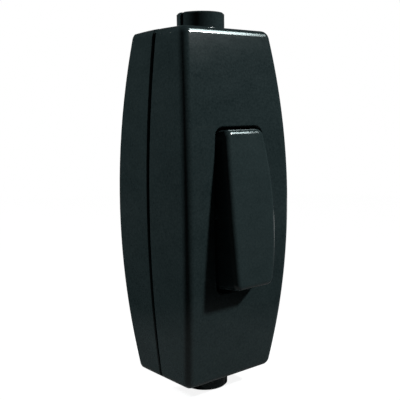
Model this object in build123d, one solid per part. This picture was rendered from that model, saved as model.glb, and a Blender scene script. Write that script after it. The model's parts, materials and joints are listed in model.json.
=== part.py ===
from build123d import *
import os
from math import cos, radians, sin, sqrt

# Pendant cord switch, in millimetres. X is its width, the rocker faces -Y, and the cord runs along Z.
# It is modelled about the middle of the housing and moved down at the end, so that the origin
# of every written piece is the centre of the top cord inlet's rim.

# Housing
body_height = 84.0
body_width = 33.0
side_bulge = 2.9
front_depth = 14.25
front_bulge = 4.2
rear_depth = 12.95
rear_bulge = 3.6
rear_end_draft = 0.7
rear_end_straight = 1.2
wall = 2.2
corner_radius = 2.2
inner_corner_radius = 0.7
front_edge_radius = 1.9
rear_edge_chamfer = 0.7

# Parting groove between the covers, wider at the top than at the bottom
groove_depth = 1.1
groove_front_top = 0.55
groove_front_bottom = 0.2
groove_rear = 0.6
groove_edge_chamfer = 0.2

# Cord inlets, one in each end
inlet_radius = 5.75
inlet_bore_radius = 4.25
inlet_length = 4.2
inlet_lip = 0.7
inlet_edge_chamfer = 0.35

# Rocker
rocker_length = 37.6
rocker_width = 15.1
rocker_side_bulge = 1.3
rocker_corner_radius = 2.3
rocker_draft = 3.0
rocker_edge_radius = 1.4
rocker_wall = 1.5
rocker_face_wall = 1.8
rocker_face_radius = 147.5
rocker_face_height = 6.4
rocker_skirt_depth = 3.3
rocker_tilt = 5.54
rocker_rib_place = 9.5
rocker_rib_thickness = 1.0
rocker_rib_reach = 1.0
pivot_below_face = 2.25
trunnion_radius = 1.2
trunnion_clearance = 0.05
trunnion_shoulder_radius = 2.2
trunnion_shoulder_gap = 0.2
trunnion_shoulder_merge = 0.3
trunnion_end_gap = 0.3
bearing_room = 0.2

# Opening and collar for the rocker
opening_side_gap = 0.75
opening_end_gap = 0.55
opening_corner_radius = 2.2
opening_edge_chamfer = 0.25
collar_wall = 1.6
collar_depth = 9.0

# Stem of the rocker, plungers and springs
pole_spacing = 6.2
stem_width = 11.4
stem_thickness = 5.2
stem_corner_radius = 1.2
stem_reach = 9.0
plunger_radius = 1.55
plunger_clearance = 0.05
plunger_length = 7.0
plunger_pin_radius = 0.55
plunger_pin_length = 2.0
plunger_travel = 0.3
plunger_blade_gap = 0.35
spring_seat = 4.0
spring_play = 0.05
spring_radius = 1.0
spring_wire_radius = 0.2
spring_turns = 5
spring_wire_sides = 6

# Seesaw blades and the contacts under them
fulcrum_y = 3.0
fulcrum_gap = 0.1
fulcrum_width = 2.2
fulcrum_base = 1.6
blade_thickness = 0.8
blade_width = 3.6
blade_long_arm = 11.0
blade_short_arm = 7.5
blade_tilt = 8.5
ear_thickness = 0.5
ear_depth = 1.5
ear_half_length = 1.8
ear_tip_half = 0.4
tip_radius = 1.3
tip_height = 0.7
tip_stem_radius = 0.6
tip_stem_proud = 0.2
tip_pad_edge = 0.3
tip_place = 9.4
contact_gap = 0.1
fixed_tip_height = 0.5

# Terminals
strip_thickness = 1.0
strip_back = 8.5
terminal_joint_distance = 7.0
terminal_offset = 6.2
terminal_width = 6.0
terminal_height = 6.0
terminal_length = 6.0
wire_hole_radius = 1.5
wire_hole_back = 2.3
terminal_screw_radius = 1.25
terminal_screw_length = 3.0
terminal_head_radius = 2.0
terminal_head_height = 1.5
slot_width = 0.6
slot_depth = 0.7
thread_clearance = 0.05
earth_width = 5.2
earth_length = 15.0
earth_height = 5.8
earth_wall_gap = 0.5
earth_screw_place = 4.6

# Cord clamps
clamp_end_distance = 8.0
clamp_radius = 4.0
clamp_seat = 2.6
clamp_thickness = 3.4
clamp_width = 5.0
clamp_length = 21.4
clamp_end_flat = 0.2
clamp_screw_spacing = 16.4
clamp_boss_radius = 2.6
clamp_screw_radius = 1.25
clamp_screw_grip = 6.0
clamp_hole_clearance = 0.25
clamp_head_radius = 2.3
clamp_head_height = 1.6
saddle_width = 4.0
saddle_front = 2.0

# Screws that join the covers
joint_clamp_distance = 7.5
joint_boss_radius = 3.0
joint_boss_merge = 0.35
joint_screw_radius = 1.4
joint_screw_length = 15.0
joint_hole_radius = 1.7
joint_head_radius = 2.6
joint_head_height = 2.0
joint_recess_radius = 2.9
joint_seat = 8.5
joint_head_chamfer = 0.6
cross_reach = 1.5
cross_width = 0.7
cross_depth = 1.1
screw_end_room = 0.5

# Ribs inside the rear cover
rib_thickness = 1.2
middle_rib_place = 10.0
rib_half_width = 9.2
barrier_thickness = 1.2
barrier_overhang = 4.0
barrier_front = 1.0
locator_thickness = 1.0
locator_gap = 0.15
locator_height = 3.0
locator_length = 3.0

half_height = body_height / 2
half_width = body_width / 2
rim_height = half_height + inlet_length
pivot_depth = front_depth - pivot_below_face
clamp_place = half_height - clamp_end_distance
joint_screw_place = clamp_place - joint_clamp_distance
terminal_place = joint_screw_place - terminal_joint_distance
pole_places = {"left": -pole_spacing / 2, "right": pole_spacing / 2}
deep = 2 * (front_depth + rear_depth)
edge_margin = 0.1


def bulge_reach(middle, bulge, z, inset=0.0):
    """Distance of a bulged wall from the axis plane at height z, moved in by inset."""
    radius = (half_height**2 + bulge**2) / (2 * bulge)
    return middle - radius + sqrt((radius - inset) ** 2 - z**2)


def barrel(half_middle, half_end, half_length, corner):
    """Front-view outline with two bulged sides, two straight ends and rounded corners."""
    right = ThreePointArc((half_end, -half_length), (half_middle, 0), (half_end, half_length))
    top = Line((half_end, half_length), (-half_end, half_length))
    left = ThreePointArc((-half_end, half_length), (-half_middle, 0), (-half_end, -half_length))
    bottom = Line((-half_end, -half_length), (half_end, -half_length))
    outline = make_face([right, top, left, bottom])
    return Plane.XZ * fillet(outline.vertices(), corner)


def housing_plan(inset, corner):
    """Front-view outline of the housing, moved in by inset."""
    length = half_height - inset
    return barrel(half_width - inset, bulge_reach(half_width, side_bulge, length, inset), length, corner)


def housing_side(depth, bulge, end_draft, inset, direction):
    """Side-view slab of one cover: direction is -1 for the front cover and 1 for the rear one."""
    length = half_height - inset
    edge = bulge_reach(depth, bulge, length, inset)
    upper = [(0, length)]
    if end_draft > 0:
        upper.append((direction * rear_end_straight, length))
    upper.append((direction * edge, length - end_draft))
    lower = [(y, -z) for y, z in reversed(upper)]
    arc = ThreePointArc(upper[-1], (direction * (depth - inset), 0), lower[0])
    outline = make_face([Polyline(*upper), arc, Polyline(*lower), Line(lower[-1], upper[0])])
    return extrude(Plane.YZ * outline, amount=body_width, both=True)


def cover_block(direction, inset=0.0, corner=corner_radius):
    """Solid block of one cover without its edge rounding."""
    if direction < 0:
        side = housing_side(front_depth, front_bulge, 0.0, inset, direction)
    else:
        side = housing_side(rear_depth, rear_bulge, rear_end_draft, inset, direction)
    return extrude(housing_plan(inset, corner), amount=deep, both=True) & side


def cylinder_y(x, z, radius, near, far):
    """Cylinder along Y between the planes y = near and y = far."""
    low, high = min(near, far), max(near, far)
    return Pos(x, (low + high) / 2, z) * Rot(90, 0, 0) * Cylinder(radius, high - low)


def block(x_range, y_range, z_range):
    """Box between the given limits."""
    centre = [(low + high) / 2 for low, high in (x_range, y_range, z_range)]
    size = [high - low for low, high in (x_range, y_range, z_range)]
    return Pos(*centre) * Box(*size)


def about_x(shape, angle, y, z=0.0):
    """Turns a shape about a line along X."""
    return Pos(0, y, z) * Rot(angle, 0, 0) * Pos(0, -y, -z) * shape


def inlets(radius, edge_chamfer=0.0):
    """Both cord inlets as whole cylinders that start inside the end walls."""
    height = rim_height - (half_height - wall)
    tube = Cylinder(radius, height, align=(Align.CENTER, Align.CENTER, Align.MIN))
    if edge_chamfer > 0:
        tube = chamfer(tube.edges().sort_by(Axis.Z)[-1], edge_chamfer)
    top = Pos(0, 0, half_height - wall) * tube
    return top + Rot(180, 0, 0) * top


def groove_side(direction):
    """Slab on the cover's side of the groove: the front cover's edge slants a little."""
    if direction > 0:
        return block((-body_width, body_width), (groove_rear, deep), (-body_height, body_height))
    slope = (groove_front_top - groove_front_bottom) / body_height
    middle = (groove_front_top + groove_front_bottom) / 2
    high = (-middle - slope * body_height, body_height)
    low = (-middle + slope * body_height, -body_height)
    outline = Polyline(high, low, (-deep, -body_height), (-deep, body_height), close=True)
    return extrude(Plane.YZ * make_face(outline), amount=body_width, both=True)


def cover_shell(direction):
    """Hollow cover with its half of the inlets, its rounded edges and the lip at the parting plane."""
    outside = cover_block(direction)
    if direction < 0:
        outside = fillet(outside.faces().sort_by(Axis.Y)[0].edges(), front_edge_radius)
    else:
        outside = chamfer(outside.faces().sort_by(Axis.Y)[-1].edges(), rear_edge_chamfer)
    skin = outside & groove_side(direction)
    if direction > 0:
        skin = chamfer(skin.faces().sort_by(Axis.Y)[0].edges(), groove_edge_chamfer)
    skin += inlets(inlet_radius, inlet_edge_chamfer) & groove_side(direction)
    near, far = sorted((0, direction * deep))
    near_side = block((-deep, deep), (near, far), (-body_height, body_height))
    lip = cover_block(direction, groove_depth, corner_radius - groove_depth)
    lip += inlets(inlet_bore_radius + inlet_lip) & near_side
    hollow = cover_block(direction, wall, inner_corner_radius)
    bore = Cylinder(inlet_bore_radius, 2 * body_height)
    return skin + lip - hollow - bore, outside


def rocker_plan(grow_side=0.0, grow_end=0.0, corner=rocker_corner_radius):
    """Front-view outline at the rocker's skirt, grown by the given gaps."""
    middle = rocker_width / 2 + grow_side
    return barrel(middle, middle - rocker_side_bulge, rocker_length / 2 + grow_end, corner)


def joint_places():
    """Places of the two cover screws, at opposite corners, where the pillars touch the side walls."""
    reach = bulge_reach(half_width, side_bulge, joint_screw_place, wall)
    x = reach + joint_boss_merge - joint_boss_radius
    return [(x, joint_screw_place), (-x, -joint_screw_place)]


def clamp_places():
    """Places of the four clamp screws."""
    x = clamp_screw_spacing / 2
    return [(sx * x, sz * clamp_place) for sz in (1, -1) for sx in (1, -1)]


def front_cover():
    """Front cover: collar and bearings for the rocker, and the pillars for the cover screws."""
    cover, outside = cover_shell(-1)
    collar = rocker_plan(opening_side_gap + collar_wall, opening_end_gap + collar_wall)
    cover += extrude(collar, amount=deep) & outside & block(
        (-half_width, half_width), (-deep, -collar_depth), (-half_height, half_height)
    )
    for x, z in joint_places():
        cover += cylinder_y(x, z, joint_boss_radius, 0, -front_depth) & outside
    opening = extrude(rocker_plan(opening_side_gap, opening_end_gap, opening_corner_radius), amount=deep)
    cover -= opening
    rim = [edge for edge in cover.edges() if on_opening_rim(edge)]
    cover = chamfer(rim, opening_edge_chamfer)
    bearing = Rot(0, 90, 0) * Cylinder(trunnion_radius + trunnion_clearance, 2 * bearing_reach())
    cover -= Pos(0, -pivot_depth, 0) * bearing
    pilot_end = joint_seat - joint_screw_length - screw_end_room
    for x, z in joint_places():
        cover -= cylinder_y(x, z, joint_screw_radius + thread_clearance, 0, pilot_end)
    return cover


def on_opening_rim(edge):
    """True for an edge where the rocker's opening meets the outer face."""
    box = edge.bounding_box()
    half_across = rocker_width / 2 + opening_side_gap + edge_margin
    half_along = rocker_length / 2 + opening_end_gap + edge_margin
    across = max(abs(box.min.X), abs(box.max.X)) < half_across
    along = max(abs(box.min.Z), abs(box.max.Z)) < half_along
    rearmost = edge_margin - bulge_reach(front_depth, front_bulge, half_along)
    return across and along and box.max.Y < rearmost


def bearing_reach():
    """Distance from the middle to the outside of the collar at the bearings."""
    return rocker_width / 2 + opening_side_gap + collar_wall + bearing_room


def floor_y(z):
    """Depth of the rear cover's inner face at height z."""
    return bulge_reach(rear_depth, rear_bulge, z, wall)


def terminal_ribs():
    """Cross ribs under the terminals and the barrier between the two poles."""
    ribs = Part()
    for z in (-terminal_place, -middle_rib_place, 0, middle_rib_place, terminal_place):
        ribs += floor_rib((-rib_half_width, rib_half_width), strip_back, z, rib_thickness)
    half = barrier_thickness / 2
    return ribs + floor_rib((-half, half), barrier_front, 0, 2 * (terminal_place + barrier_overhang))


def floor_rib(x_range, front, z, length):
    """Rib that stands on the rear cover's floor and reaches forward to y = front."""
    return block(x_range, (front, rear_depth), (z - length / 2, z + length / 2))


def terminal_locators():
    """Short walls that keep the four terminals from turning."""
    walls = Part()
    edge = terminal_offset + terminal_width / 2 + locator_gap
    for sx in (1, -1):
        x_range = sorted((sx * edge, sx * (edge + locator_thickness)))
        for sz in (1, -1):
            walls += floor_rib(x_range, strip_back - locator_height, sz * terminal_place, locator_length)
    return walls


def cord_saddles():
    """Ribs that the cords lie on, between the bosses of their clamps."""
    saddles = Part()
    half = clamp_screw_spacing / 2
    for sz in (1, -1):
        saddles += floor_rib((-half, half), saddle_front, sz * clamp_place, saddle_width)
    return saddles - Cylinder(clamp_radius, body_height)


def rear_cover():
    """Rear cover: ribs under the terminals, saddles for the cord and bosses for all screws."""
    cover, outside = cover_shell(1)
    ribs = terminal_ribs() + terminal_locators() + earth_shelf() + cord_saddles()
    cover += ribs & cover_block(1, wall / 2)
    for x, z in clamp_places():
        cover += cylinder_y(x, z, clamp_boss_radius, -clamp_seat, floor_y(z) + wall / 2)
    for x, z in joint_places():
        cover += cylinder_y(x, z, joint_boss_radius, 0, rear_depth) & outside
    for x, z in clamp_places():
        cover -= cylinder_y(x, z, clamp_screw_radius + thread_clearance, -clamp_seat, clamp_screw_grip)
    for x, z in joint_places():
        cover -= cylinder_y(x, z, joint_hole_radius, 0, deep)
        cover -= cylinder_y(x, z, joint_recess_radius, joint_seat, deep)
    return cover


def earth_centre():
    """Distance of the earth connector's middle from the switch's middle plane."""
    return bulge_reach(half_width, side_bulge, earth_length / 2, wall) - earth_wall_gap - earth_width / 2


def earth_shelf():
    """Two ribs that carry the earth connector."""
    shelf = Part()
    x, half = -earth_centre(), earth_width / 2
    for sz in (1, -1):
        shelf += floor_rib((x - half, x + half), strip_back, sz * earth_screw_place, rib_thickness)
    return shelf


def rocker_skirt(inset, face_drop):
    """Tapered barrel under the rocker's curved face, moved in by inset and down by face_drop."""
    skirt_y = -pivot_depth + rocker_skirt_depth
    corner = rocker_corner_radius - inset / 2
    plan = Pos(0, skirt_y, 0) * rocker_plan(-inset, -inset, corner)
    body = extrude(plan, amount=rocker_face_height + rocker_skirt_depth + rocker_wall, taper=rocker_draft)
    face_y = -pivot_depth - rocker_face_height + face_drop
    drum = Pos(0, face_y + rocker_face_radius, 0) * Rot(0, 90, 0) * Cylinder(rocker_face_radius, body_width)
    return body & drum


def rocker():
    """Rocker as moulded: hollow key, two trunnions, two ribs and the stem with the plunger bores."""
    key = rocker_skirt(0.0, 0.0)
    face = key.faces().sort_by(Axis.Y)[0]
    key = fillet(face.edges(), rocker_edge_radius)
    whole = key
    key -= rocker_skirt(rocker_wall, rocker_face_wall)
    skirt_y = -pivot_depth + rocker_skirt_depth
    half = rocker_rib_thickness / 2
    for z in (rocker_rib_place, -rocker_rib_place):
        y_range = (-deep, rocker_rib_reach - pivot_depth)
        key += whole & block((-half_width, half_width), y_range, (z - half, z + half))
    stem_end = -pivot_depth + stem_reach
    stem = RectangleRounded(stem_width, stem_thickness, stem_corner_radius)
    key += extrude(Plane.XZ.offset(-stem_end) * stem, amount=stem_reach + rocker_face_height - rocker_wall)
    reach = bearing_reach() - trunnion_end_gap
    shaft = Rot(0, 90, 0) * Cylinder(trunnion_radius, 2 * reach)
    opening_half = rocker_width / 2 + opening_side_gap
    shoulder = Rot(0, 90, 0) * Cylinder(trunnion_shoulder_radius, 2 * (opening_half - trunnion_shoulder_gap))
    pivot = Pos(0, -pivot_depth, 0) * (shaft + shoulder)
    hollow_half = rocker_width / 2 - rocker_wall - trunnion_shoulder_merge
    pivot -= block((-hollow_half, hollow_half), (-deep, skirt_y), (-half_height, half_height))
    key += pivot
    for x in pole_places.values():
        bore_radius = plunger_radius + plunger_clearance
        key -= cylinder_y(x, 0, bore_radius, deep, -pivot_depth - spring_seat)
    return about_x(key, -rocker_tilt, -pivot_depth)


def plunger_tip_reach():
    """Distance from the pivot to the centre of the plunger's round nose, at the stated gap to the blade."""
    tilt, lean = radians(rocker_tilt), radians(blade_tilt)
    along = cos(tilt) * cos(lean) - sin(tilt) * sin(lean)
    clear = plunger_radius + plunger_blade_gap + blade_thickness
    return ((pivot_depth + fulcrum_y) * cos(lean) - clear) / along


def plunger(x):
    """Round-nosed plunger with the pin that centres its spring."""
    nose_y = -pivot_depth + plunger_tip_reach()
    shoulder_y = nose_y - plunger_length
    pin = cylinder_y(x, 0, plunger_radius, nose_y, shoulder_y) + Pos(x, nose_y, 0) * Sphere(plunger_radius)
    pin += cylinder_y(x, 0, plunger_pin_radius, shoulder_y, shoulder_y - plunger_pin_length)
    return about_x(pin, -rocker_tilt, -pivot_depth)


def plunger_spring(x):
    """Coil spring between the plunger's shoulder and the end of its bore."""
    start = -pivot_depth + plunger_tip_reach() - plunger_length
    end = -pivot_depth - spring_seat + plunger_travel + spring_play
    height = start - end - 2 * spring_wire_radius
    path = Helix(height / spring_turns, height, spring_radius)
    section = RegularPolygon(spring_wire_radius, spring_wire_sides)
    wire = Plane(origin=path @ 0, z_dir=path % 0) * section
    coil = sweep(wire, path=path, is_frenet=True)
    placed = Pos(x, start - spring_wire_radius, 0) * Rot(90, 0, 0) * coil
    return about_x(placed, -rocker_tilt, -pivot_depth)


def seesaw(x):
    """Moving blade with two ears that straddle the fulcrum."""
    half = blade_width / 2
    front = fulcrum_y - blade_thickness
    blade = block((x - half, x + half), (front, fulcrum_y), (-blade_short_arm, blade_long_arm))
    points = [(front, ear_half_length), (fulcrum_y + ear_depth, ear_tip_half)]
    points += [(y, -z) for y, z in reversed(points)]
    ear = extrude(Plane.YZ * make_face(Polyline(*points, close=True)), amount=ear_thickness)
    blade += Pos(x - half, 0, 0) * ear
    blade += Pos(x + half - ear_thickness, 0, 0) * ear
    blade -= cylinder_y(x, tip_place, tip_stem_radius, front, fulcrum_y)
    return about_x(blade, blade_tilt, fulcrum_y)


def moving_tip(x):
    """Silver rivet through the long arm of the blade."""
    tip = cylinder_y(x, tip_place, tip_radius, fulcrum_y, fulcrum_y + tip_height)
    stem_front = fulcrum_y - blade_thickness - tip_stem_proud
    tip += cylinder_y(x, tip_place, tip_stem_radius, stem_front, fulcrum_y)
    return about_x(tip, blade_tilt, fulcrum_y)


def closed_contact_y():
    """Rearmost point that the moving tip reaches when the switch is on."""
    lean = radians(blade_tilt)
    return fulcrum_y + tip_height * cos(lean) + (tip_place + tip_radius) * sin(lean)


def closed_contact_z():
    """Height of the moving tip's middle when the switch is on."""
    lean = radians(blade_tilt)
    return tip_place * cos(lean) - tip_height * sin(lean)


def terminal_block(side, end):
    """Brass block with its wire hole and screw thread; end is 1 at the top and -1 at the bottom."""
    x, z = side * terminal_offset, end * terminal_place
    half, tall = terminal_width / 2, terminal_length / 2
    body = block((x - half, x + half), (strip_back - terminal_height, strip_back), (z - tall, z + tall))
    body -= Pos(x, strip_back - wire_hole_back, z) * Cylinder(wire_hole_radius, 2 * terminal_length)
    thread = terminal_screw_radius + thread_clearance
    return body - cylinder_y(x, z, thread, strip_back - 2 * terminal_height, strip_back - wire_hole_back)


def strip(x, points):
    """Bent brass strip: its side view is the given outline."""
    outline = make_face(Polyline(*points, close=True))
    return Pos(x - blade_width / 2, 0, 0) * extrude(Plane.YZ * outline, amount=blade_width)


def fixed_terminal(side):
    """Top terminal: its strip steps forward to the contact pad behind the moving tip."""
    x = side * pole_spacing / 2
    pad_front = closed_contact_y() + contact_gap + fixed_tip_height
    pad_back = pad_front + strip_thickness
    low = closed_contact_z() - tip_radius - tip_pad_edge
    bend = closed_contact_z() + tip_radius + tip_pad_edge
    end = terminal_place - terminal_length / 2
    floor = strip_back - strip_thickness
    top = bend + strip_thickness
    points = [(pad_front, low), (pad_front, top), (floor, top), (floor, end)]
    points += [(strip_back, end), (strip_back, bend), (pad_back, bend), (pad_back, low)]
    terminal = strip(x, points) + terminal_block(side, 1)
    return terminal - cylinder_y(x, closed_contact_z(), tip_stem_radius, pad_front, pad_back)


def fixed_tip(x):
    """Silver rivet in the pad of the top terminal."""
    pad_front = closed_contact_y() + contact_gap + fixed_tip_height
    tip = cylinder_y(x, closed_contact_z(), tip_radius, pad_front - fixed_tip_height, pad_front)
    stem_back = pad_front + strip_thickness + tip_stem_proud
    return tip + cylinder_y(x, closed_contact_z(), tip_stem_radius, pad_front, stem_back)


def fulcrum_terminal(side):
    """Bottom terminal: its strip stands up into the knife edge that carries the blade."""
    x = side * pole_spacing / 2
    end = -terminal_place + terminal_length / 2
    half = fulcrum_base / 2
    floor = strip_back - strip_thickness
    base = strip(x, [(floor, half), (floor, end), (strip_back, end), (strip_back, half)])
    edge = fulcrum_y + fulcrum_gap
    shoulder = edge + fulcrum_base
    points = [(edge, 0), (shoulder, half), (floor, half), (floor, -half), (shoulder, -half)]
    post = extrude(Plane.YZ * make_face(Polyline(*points, close=True)), amount=fulcrum_width)
    return base + Pos(x - fulcrum_width / 2, 0, 0) * post + terminal_block(side, -1)


def slotted_screw(x, z, seat, radius, head_radius, head_height, length):
    """Cheese-head screw that points to the rear, with its head in front of y = seat."""
    screw = cylinder_y(x, z, radius, seat, seat + length)
    head = cylinder_y(x, z, head_radius, seat - head_height, seat)
    top = seat - head_height
    half = slot_width / 2
    slot = block((x - head_radius, x + head_radius), (top, top + slot_depth), (z - half, z + half))
    return screw + (head - slot)


def terminal_screws():
    """The four screws that grip the wires."""
    seat = strip_back - terminal_height
    screws = []
    for sx in (1, -1):
        for sz in (1, -1):
            x, z = sx * terminal_offset, sz * terminal_place
            sizes = (terminal_screw_radius, terminal_head_radius, terminal_head_height, terminal_screw_length)
            screws.append(slotted_screw(x, z, seat, *sizes))
    return Compound(children=screws)


def earth_connector():
    """Brass block that joins the earth wires of both cords."""
    x, half = -earth_centre(), earth_width / 2
    y_range = (strip_back - earth_height, strip_back)
    body = block((x - half, x + half), y_range, (-earth_length / 2, earth_length / 2))
    body -= Pos(x, strip_back - wire_hole_back, 0) * Cylinder(wire_hole_radius, 2 * earth_length)
    for z in (earth_screw_place, -earth_screw_place):
        thread = terminal_screw_radius + thread_clearance
        body -= cylinder_y(x, z, thread, strip_back - 2 * earth_height, strip_back - wire_hole_back)
    return body


def earth_screws():
    """The two screws of the earth connector."""
    seat = strip_back - earth_height
    sizes = (terminal_screw_radius, terminal_head_radius, terminal_head_height, terminal_screw_length)
    places = (earth_screw_place, -earth_screw_place)
    return Compound(children=[slotted_screw(-earth_centre(), z, seat, *sizes) for z in places])


def cord_clamp(end):
    """Arched bar that presses the cord into its saddle."""
    z, half = end * clamp_place, clamp_length / 2
    front = -clamp_seat - clamp_thickness
    bar = block((-half, half), (front, -clamp_seat), (z - clamp_width / 2, z + clamp_width / 2))
    bar = fillet(bar.edges().filter_by(Axis.Y), clamp_width / 2 - clamp_end_flat)
    bar -= Pos(0, 0, z) * Cylinder(clamp_radius, 2 * clamp_width)
    for sx in (1, -1):
        x = sx * clamp_screw_spacing / 2
        bar -= cylinder_y(x, z, clamp_screw_radius + clamp_hole_clearance, front, -clamp_seat)
    return bar


def clamp_screws():
    """The four screws of the cord clamps."""
    seat = -clamp_seat - clamp_thickness
    length = clamp_screw_grip - screw_end_room - seat
    sizes = (clamp_screw_radius, clamp_head_radius, clamp_head_height, length)
    return Compound(children=[slotted_screw(x, z, seat, *sizes) for x, z in clamp_places()])


def housing_screw(x, z):
    """Pan-head screw with a cross recess, driven from the rear."""
    screw = cylinder_y(x, z, joint_screw_radius, joint_seat, joint_seat - joint_screw_length)
    head = cylinder_y(x, z, joint_head_radius, joint_seat, joint_seat + joint_head_height)
    head = chamfer(head.edges().sort_by(Axis.Y)[-1], joint_head_chamfer)
    top = joint_seat + joint_head_height
    half = cross_width / 2
    cross = block((x - cross_reach, x + cross_reach), (top - cross_depth, top), (z - half, z + half))
    cross += block((x - half, x + half), (top - cross_depth, top), (z - cross_reach, z + cross_reach))
    return screw + (head - cross)


def housing_screws():
    """The two screws that join the covers."""
    return Compound(children=[housing_screw(x, z) for x, z in joint_places()])


def write(name, shape):
    """Moves a piece from the middle of the housing to the row's origin and writes it."""
    export_step(Pos(0, 0, -rim_height) * shape, f"parts/{name}.step")


os.makedirs("parts", exist_ok=True)
write("front_cover", front_cover())
write("rear_cover", rear_cover())
write("rocker", rocker())
for name, x in pole_places.items():
    side = 1 if x > 0 else -1
    write(f"plunger_{name}", plunger(x))
    write(f"plunger_spring_{name}", plunger_spring(x))
    write(f"seesaw_{name}", seesaw(x))
    write(f"moving_tip_{name}", moving_tip(x))
    write(f"fixed_terminal_{name}", fixed_terminal(side))
    write(f"fixed_tip_{name}", fixed_tip(x))
    write(f"fulcrum_terminal_{name}", fulcrum_terminal(side))
write("terminal_screws", terminal_screws())
write("earth_connector", earth_connector())
write("earth_screws", earth_screws())
write("top_cord_clamp", cord_clamp(1))
write("bottom_cord_clamp", cord_clamp(-1))
write("clamp_screws", clamp_screws())
write("housing_screws", housing_screws())
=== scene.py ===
import bpy
import json
from math import cos, sin
from mathutils import Matrix, Vector


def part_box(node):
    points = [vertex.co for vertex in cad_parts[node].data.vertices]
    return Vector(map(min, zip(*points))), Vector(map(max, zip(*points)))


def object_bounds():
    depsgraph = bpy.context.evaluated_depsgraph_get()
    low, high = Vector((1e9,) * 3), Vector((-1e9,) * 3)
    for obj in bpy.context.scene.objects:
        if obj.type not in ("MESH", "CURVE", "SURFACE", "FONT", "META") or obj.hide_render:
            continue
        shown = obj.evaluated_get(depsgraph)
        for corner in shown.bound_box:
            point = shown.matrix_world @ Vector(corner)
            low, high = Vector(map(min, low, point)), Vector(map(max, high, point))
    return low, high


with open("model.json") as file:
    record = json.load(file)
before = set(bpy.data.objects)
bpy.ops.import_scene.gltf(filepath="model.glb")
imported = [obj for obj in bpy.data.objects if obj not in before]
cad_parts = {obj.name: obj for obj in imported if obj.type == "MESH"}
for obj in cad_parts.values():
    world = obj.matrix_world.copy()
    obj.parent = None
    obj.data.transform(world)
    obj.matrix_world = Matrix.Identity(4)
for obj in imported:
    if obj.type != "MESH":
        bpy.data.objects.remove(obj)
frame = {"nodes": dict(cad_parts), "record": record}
nodes = frame["nodes"]
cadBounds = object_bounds()
print("Frame: loaded", len(nodes), "pieces")


# Shader maths: a socket that can be added, subtracted and multiplied

class Socket:
    def __init__(self, finish, output):
        self.finish = finish
        self.output = output

    def math(self, operation, first, second):
        return self.finish.node("ShaderNodeMath", {"operation": operation}, {0: first, 1: second})

    def __add__(self, other):
        return self.math("ADD", self, other)

    def __radd__(self, other):
        return self.math("ADD", other, self)

    def __sub__(self, other):
        return self.math("SUBTRACT", self, other)

    def __rsub__(self, other):
        return self.math("SUBTRACT", other, self)

    def __mul__(self, other):
        return self.math("MULTIPLY", self, other)

    def __rmul__(self, other):
        return self.math("MULTIPLY", other, self)


# The nodes of one material, or of the world

class Finish:
    def __init__(self, owner):
        owner.use_nodes = True
        self.owner = owner
        self.tree = owner.node_tree
        self.tree.nodes.clear()

    def node(self, kind, settings=None, inputs=None, output=0):
        item = self.tree.nodes.new(kind)
        for name, value in (settings or {}).items():
            if name == "stops":
                self.setStops(item.color_ramp, value)
            else:
                setattr(item, name, value)
        for name, value in (inputs or {}).items():
            if isinstance(value, Socket):
                self.tree.links.new(value.output, item.inputs[name])
            else:
                item.inputs[name].default_value = value
        return Socket(self, item.outputs[output])

    def setStops(self, ramp, stops):
        for element, (place, grey) in zip(ramp.elements, stops):
            element.position = place
            element.color = (grey, grey, grey, 1)

    # Grain of the given size in metres, from 0 to 1, drawn out along an axis whose stretch is under 1
    def grain(self, size, detail=2.0, stretch=(1, 1, 1), turn=(0, 0, 0), harshness=0.55):
        spot = self.node("ShaderNodeTexCoord", output="Object")
        place = self.node("ShaderNodeMapping", None, {"Vector": spot, "Scale": stretch, "Rotation": turn})
        inputs = {"Vector": place, "Scale": 1 / size, "Detail": detail, "Roughness": harshness}
        return self.node("ShaderNodeTexNoise", None, inputs)

    # From 0 at the first end to 1 at the second: a ramp for grain, a fade for places
    def ramp(self, value, ends):
        start, end = ends
        return self.node("ShaderNodeValToRGB", {"stops": ((start, 0.0), (end, 1.0))}, {"Fac": value})

    def fade(self, value, ends):
        start, end = ends
        return self.node("ShaderNodeMapRange", None, {0: value, 1: start, 2: end})

    # Grain that shows only where it is strongest
    def marks(self, ends, **grain):
        return self.ramp(self.grain(**grain), ends)

    def mixColour(self, amount, first, second):
        inputs = {0: amount, 6: first, 7: second}  # 6 and 7 are the colour sockets
        return self.node("ShaderNodeMix", {"data_type": "RGBA"}, inputs, output=2)

    def bump(self, height, strength, distance, normal=None):
        inputs = {"Height": height, "Strength": strength, "Distance": distance}
        if normal is not None:
            inputs["Normal"] = normal
        return self.node("ShaderNodeBump", None, inputs)

    def surface(self, shader, kind="ShaderNodeOutputMaterial"):
        output = self.tree.nodes.new(kind)
        self.tree.links.new(shader.output, output.inputs["Surface"])
        return self.owner

    def coat(self, inputs):
        return self.surface(self.node("ShaderNodeBsdfPrincipled", None, inputs))


# Black moulded plastic of the housing, the rocker and the cord clamps

housingLook = {
    "dark": (0.0082, 0.0152, 0.0162, 1),
    "light": (0.0202, 0.0317, 0.0329, 1),
    "scuff": (0.045, 0.052, 0.050, 1),
    "grainSize": 0.00045,
    "cloudSize": 0.009,
    "roughness": 0.085,
    "specular": 0.25,
    "scratches": 0.10,
    "texture": 0.10,
}
rockerLook = {
    "dark": (0.0120, 0.0205, 0.0215, 1),
    "light": (0.0220, 0.0345, 0.0358, 1),
    "scuff": (0.045, 0.052, 0.050, 1),
    "grainSize": 0.00040,
    "cloudSize": 0.006,
    "roughness": 0.085,
    "specular": 0.25,
    "scratches": 0.16,
    "texture": 0.07,
}
clampLook = {
    "dark": (0.010, 0.010, 0.010, 1),
    "light": (0.024, 0.024, 0.024, 1),
    "scuff": (0.05, 0.05, 0.05, 1),
    "grainSize": 0.0006,
    "cloudSize": 0.004,
    "roughness": 0.55,
    "specular": 0.4,
    "scratches": 0.15,
    "texture": 0.25,
}

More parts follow.
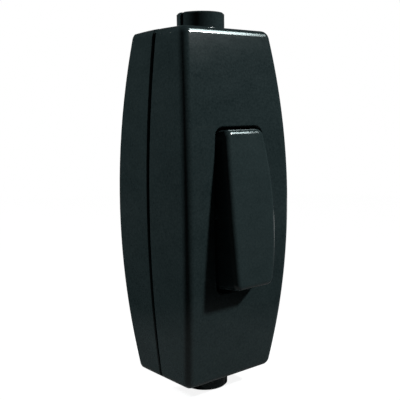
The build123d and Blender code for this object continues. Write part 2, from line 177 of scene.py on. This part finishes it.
# The same for all three: how clouds, speckle and the finest grain mix, roughen and stand up
mouldedGrain = {
    "cloudDetail": 4.0,
    "cloudStretch": (0.8, 1.0, 1.6),
    "cloudShare": 0.3,
    "mottle": (0.28, 0.72),
    "fineScale": 0.3,
    "fineShare": 0.3,
    "cloudRough": 0.05,
    "speckleRough": 0.03,
    "scratchRough": 0.2,
    "grainDepth": 0.00006,
    "swellStrength": 0.05,
    "swellDepth": 0.0004,
    "scratchStrength": 0.2,
    "scratchDepth": 0.00002,
}

# Faint scratches: two sets of long thin streaks, shown only in patches
scratchMarks = {
    "patches": {
        "ends": (0.52, 0.68),
        "size": 0.012,
    },
    "upright": {
        "ends": (0.66, 0.71),
        "size": 0.0007,
        "detail": 1.0,
        "stretch": (1, 1, 0.02),
        "turn": (0.25, 0.1, 0.0),
    },
    "level": {
        "ends": (0.67, 0.72),
        "size": 0.0008,
        "detail": 1.0,
        "stretch": (0.03, 1, 1),
        "turn": (0.0, 0.5, 0.2),
    },
}


def mouldedPlastic(name, look):
    finish = Finish(bpy.data.materials.new(name))
    shared = mouldedGrain
    clouds = finish.grain(look["cloudSize"], shared["cloudDetail"], shared["cloudStretch"])
    speckle = finish.grain(look["grainSize"])
    fine = finish.grain(look["grainSize"] * shared["fineScale"], detail=1.0)
    mixed = clouds * shared["cloudShare"] + speckle * (1 - shared["cloudShare"])
    body = finish.mixColour(finish.ramp(mixed, shared["mottle"]), look["dark"], look["light"])

    marks = {kind: finish.marks(**row) for kind, row in scratchMarks.items()}
    streaks = (marks["upright"] + marks["level"]) * marks["patches"] * look["scratches"]
    roughness = look["roughness"] + shared["cloudRough"] * clouds
    roughness = roughness + shared["speckleRough"] * speckle + shared["scratchRough"] * streaks

    grain = speckle * (1 - shared["fineShare"]) + fine * shared["fineShare"]
    skin = finish.bump(grain, look["texture"], shared["grainDepth"])
    swell = finish.bump(clouds, shared["swellStrength"], shared["swellDepth"], skin)
    return finish.coat({
        "Base Color": finish.mixColour(streaks, body, look["scuff"]),
        "Roughness": roughness,
        "Specular IOR Level": look["specular"],
        "Normal": finish.bump(streaks, shared["scratchStrength"], -shared["scratchDepth"], swell),
    })


# Metals of the inner pieces and the screws

brassLook = {
    "dark": (0.47, 0.33, 0.12, 1),
    "light": (0.76, 0.58, 0.28, 1),
    "roughness": 0.26,
    "brush": (1, 1, 0.06),  # drawn out along Z
}
silverLook = {
    "dark": (0.62, 0.61, 0.58, 1),
    "light": (0.86, 0.85, 0.82, 1),
    "roughness": 0.22,
    "brush": (1, 1, 1),  # no direction
}
springLook = {
    "dark": (0.34, 0.34, 0.35, 1),
    "light": (0.60, 0.60, 0.61, 1),
    "roughness": 0.30,
    "brush": (1, 0.1, 1),  # drawn out along Y
}
zincLook = {
    "dark": (0.42, 0.42, 0.43, 1),
    "light": (0.68, 0.68, 0.67, 1),
    "roughness": 0.33,
    "brush": (1, 0.2, 1),  # drawn out along Y
}

# The same for all four: the brush marks, and the stains that dull the metal between them
metalWear = {
    "brushSize": 0.00035,
    "brushStrength": 0.12,
    "brushDepth": 0.00004,
    "brushRough": 0.06,
    "stainSize": 0.003,
    "stainDetail": 3.0,
    "stainShare": 0.7,
    "stainRough": 0.16,
    "bright": (0.35, 0.62),
}


def metal(name, look):
    finish = Finish(bpy.data.materials.new(name))
    wear = metalWear
    brush = finish.grain(wear["brushSize"], stretch=look["brush"])
    stain = finish.grain(wear["stainSize"], wear["stainDetail"])
    mixed = stain * wear["stainShare"] + brush * (1 - wear["stainShare"])
    bright = finish.ramp(mixed, wear["bright"])
    return finish.coat({
        "Base Color": finish.mixColour(bright, look["dark"], look["light"]),
        "Metallic": 1.0,
        "Roughness": look["roughness"] + wear["stainRough"] * (1 - bright) + wear["brushRough"] * brush,
        "Normal": finish.bump(brush, wear["brushStrength"], wear["brushDepth"]),
    })


# Natural nylon of the plungers

nylonLook = {
    "dark": (0.60, 0.57, 0.50, 1),
    "light": (0.78, 0.76, 0.70, 1),
    "cloudSize": 0.002,
    "cloudDetail": 3.0,
    "cloudEnds": (0.3, 0.7),
    "roughness": 0.42,
    "grainRough": 0.1,
    "grainSize": 0.0003,
    "grainStrength": 0.1,
    "grainDepth": 0.00004,
}


def nylon(name, look):
    finish = Finish(bpy.data.materials.new(name))
    clouds = finish.ramp(finish.grain(look["cloudSize"], look["cloudDetail"]), look["cloudEnds"])
    speckle = finish.grain(look["grainSize"], detail=1.0)
    return finish.coat({
        "Base Color": finish.mixColour(clouds, look["dark"], look["light"]),
        "Roughness": look["roughness"] + look["grainRough"] * speckle,
        "Normal": finish.bump(speckle, look["grainStrength"], look["grainDepth"]),
    })


finishes = {
    "housing": mouldedPlastic("housingPlastic", housingLook),
    "rocker": mouldedPlastic("rockerPlastic", rockerLook),
    "clamp": mouldedPlastic("clampPlastic", clampLook),
    "plunger": nylon("nylon", nylonLook),
    "brass": metal("brass", brassLook),
    "silver": metal("silver", silverLook),
    "spring": metal("springSteel", springLook),
    "screw_steel": metal("zincSteel", zincLook),
}
for part in frame["record"]["subparts"]:
    mesh = nodes[part["node"]].data
    mesh.materials.clear()
    mesh.materials.append(finishes[part["material_slot"]])


# A white backdrop stands behind the object, and the rest of the studio is dim

backdrop = {
    "towards": Vector((0.65, 0.76, 0.0)),
    "floorEnds": (0.10, 0.25),
    "worldEnds": (0.93, 0.995),
}


# From 0 to 1 where the backdrop begins, for a place on the floor or a direction in the world
def behind(finish, spot, ends):
    inputs = {0: spot, 1: backdrop["towards"]}
    reach = finish.node("ShaderNodeVectorMath", {"operation": "DOT_PRODUCT"}, inputs, "Value")
    return finish.fade(reach, ends)


# 1 for what the camera sees, and for what shines in gloss or through glass where the backdrop stands
def whiteShare(finish, mask):
    camera = finish.node("ShaderNodeLightPath", output="Is Camera Ray")
    glossy = finish.node("ShaderNodeLightPath", output="Is Glossy Ray")
    through = finish.node("ShaderNodeLightPath", output="Is Transmission Ray")
    return glossy.math("MAXIMUM", camera, glossy.math("MAXIMUM", glossy, through) * mask)


# Floor: pale paper round the object, which keeps its shadow, and white to the camera farther out

floorLook = {
    "radius": 0.40,
    "sides": 96,
    "drop": 0.0001,
    "pale": (0.19, 0.20, 0.20, 1),
    "paleLift": (0.89, 0.89, 0.89, 1),
    "dim": (0.02, 0.02, 0.02, 1),
    "dimLift": (0.98, 0.98, 0.98, 1),
    "fade": (0.04, 0.07),
}


def addFloor(look):
    low = min(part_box(name)[0][2] for name in nodes)
    bpy.ops.mesh.primitive_circle_add(
        vertices=look["sides"], radius=look["radius"], fill_type="NGON", location=(0, 0, low - look["drop"]))
    floor = bpy.context.active_object
    floor.name = "floor"
    finish = Finish(bpy.data.materials.new("floorPaper"))
    place = finish.node("ShaderNodeTexCoord", output="Object")
    away = finish.node("ShaderNodeVectorMath", {"operation": "LENGTH"}, {0: place}, "Value")
    beyond = finish.fade(away, look["fade"])
    colour = finish.mixColour(beyond, look["pale"], look["dim"])
    lift = finish.mixColour(beyond, look["paleLift"], look["dimLift"])
    paper = finish.node("ShaderNodeBsdfDiffuse", None, {"Color": colour})
    glow = finish.node("ShaderNodeEmission", None, {"Color": lift, "Strength": 1.0})
    seen = finish.node("ShaderNodeAddShader", None, {0: paper, 1: glow})
    share = whiteShare(finish, behind(finish, place, backdrop["floorEnds"]))
    mixed = finish.node("ShaderNodeMixShader", None, {0: share, 1: paper, 2: seen})
    floor.data.materials.append(finish.surface(mixed))


addFloor(floorLook)

worldLook = {
    "grey": (0.025, 0.025, 0.025, 1),
    "white": (1, 1, 1, 1),
}


def setWorld(look):
    finish = Finish(bpy.data.worlds.new("studio"))
    direction = finish.node("ShaderNodeTexCoord", output="Generated")
    share = whiteShare(finish, behind(finish, direction, backdrop["worldEnds"]))
    colour = finish.mixColour(share, look["grey"], look["white"])
    background = finish.node("ShaderNodeBackground", None, {"Color": colour, "Strength": 1.0})
    bpy.context.scene.world = finish.surface(background, "ShaderNodeOutputWorld")


setWorld(worldLook)
print("Stage: floor and world")


# Lamps, all at one distance from the middle of the object

lampDistance = 0.60
lamps = {
    "keyLamp": {  # hard light from the upper right
        "from": (0.92, -1.00, 0.93),
        "size": (0.05, 0.05),
        "power": 4.7,
        "colour": (1, 1, 1),
        "matt": True,
        "gloss": True,
    },
    "sideLamp": {  # lights the left side, and doesn't shine in its gloss
        "from": (-0.45, 0.60, 0.38),
        "size": (0.08, 0.08),
        "power": 4.3,
        "colour": (1, 1, 1),
        "matt": True,
        "gloss": False,
    },
    "glossPanel": {  # lights nothing, and shows in the gloss of the rounded edges
        "from": (0.60, -0.44, 0.63),
        "size": (0.085, 0.27),
        "power": 2.2,
        "colour": (0.82, 1.0, 1.0),
        "matt": False,
        "gloss": True,
    },
}


def addLamp(name, look):
    light = bpy.data.lights.new(name, "AREA")
    light.shape = "RECTANGLE"
    light.size, light.size_y = look["size"]
    light.energy = look["power"]
    light.color = look["colour"]
    low, high = cadBounds
    middle = Vector((0, 0, (low[2] + high[2]) / 2))
    direction = Vector(look["from"]).normalized()
    across = (Vector((1, 0, 0)) - direction * direction.x).normalized()
    along = direction.cross(across)
    holder = bpy.data.objects.new(name, light)
    holder.location = middle + direction * lampDistance
    holder.rotation_euler = Matrix((across, along, direction)).transposed().to_euler()
    holder.visible_diffuse = look["matt"]
    holder.visible_glossy = look["gloss"]
    bpy.context.scene.collection.objects.link(holder)


for name, look in lamps.items():
    addLamp(name, look)
print("Lamps:", len(lamps))


# Camera at the photograph's viewing angle, in metres and radians

view = {
    "azimuth": 0.69555,
    "distance": 0.17153,
    "height": -0.02275,
    "shiftBack": 0.00015,
    "yaw": -0.00338,
    "pitch": -0.13008,
    "roll": -0.01305,
    "lens": 62.493,  # millimetres, like the sensor
    "sensor": 36,
    "nearest": 0.01,
}


def addCamera(look):
    camera = bpy.data.cameras.new("camera")
    camera.lens = look["lens"]
    camera.sensor_width = look["sensor"]
    camera.clip_start = look["nearest"]
    holder = bpy.data.objects.new("camera", camera)
    bpy.context.scene.collection.objects.link(holder)
    heading = look["azimuth"] + look["yaw"]
    level = Vector((sin(heading), cos(heading), 0))
    right = Vector((cos(heading), -sin(heading), 0))
    above = Vector((0, 0, 1))
    forward = cos(look["pitch"]) * level + sin(look["pitch"]) * above
    up = cos(look["pitch"]) * above - sin(look["pitch"]) * level
    rightRolled = cos(look["roll"]) * right + sin(look["roll"]) * up
    upRolled = cos(look["roll"]) * up - sin(look["roll"]) * right
    spot = Vector((-sin(look["azimuth"]), -cos(look["azimuth"]), 0)) * look["distance"]
    spot += Vector((0, look["shiftBack"], look["height"]))
    turn = Matrix((rightRolled, upRolled, -forward)).transposed().to_4x4()
    holder.matrix_world = Matrix.Translation(spot) @ turn
    bpy.context.scene.camera = holder


addCamera(view)
bpy.context.scene.view_settings.view_transform = "Standard"
print("Camera: set")
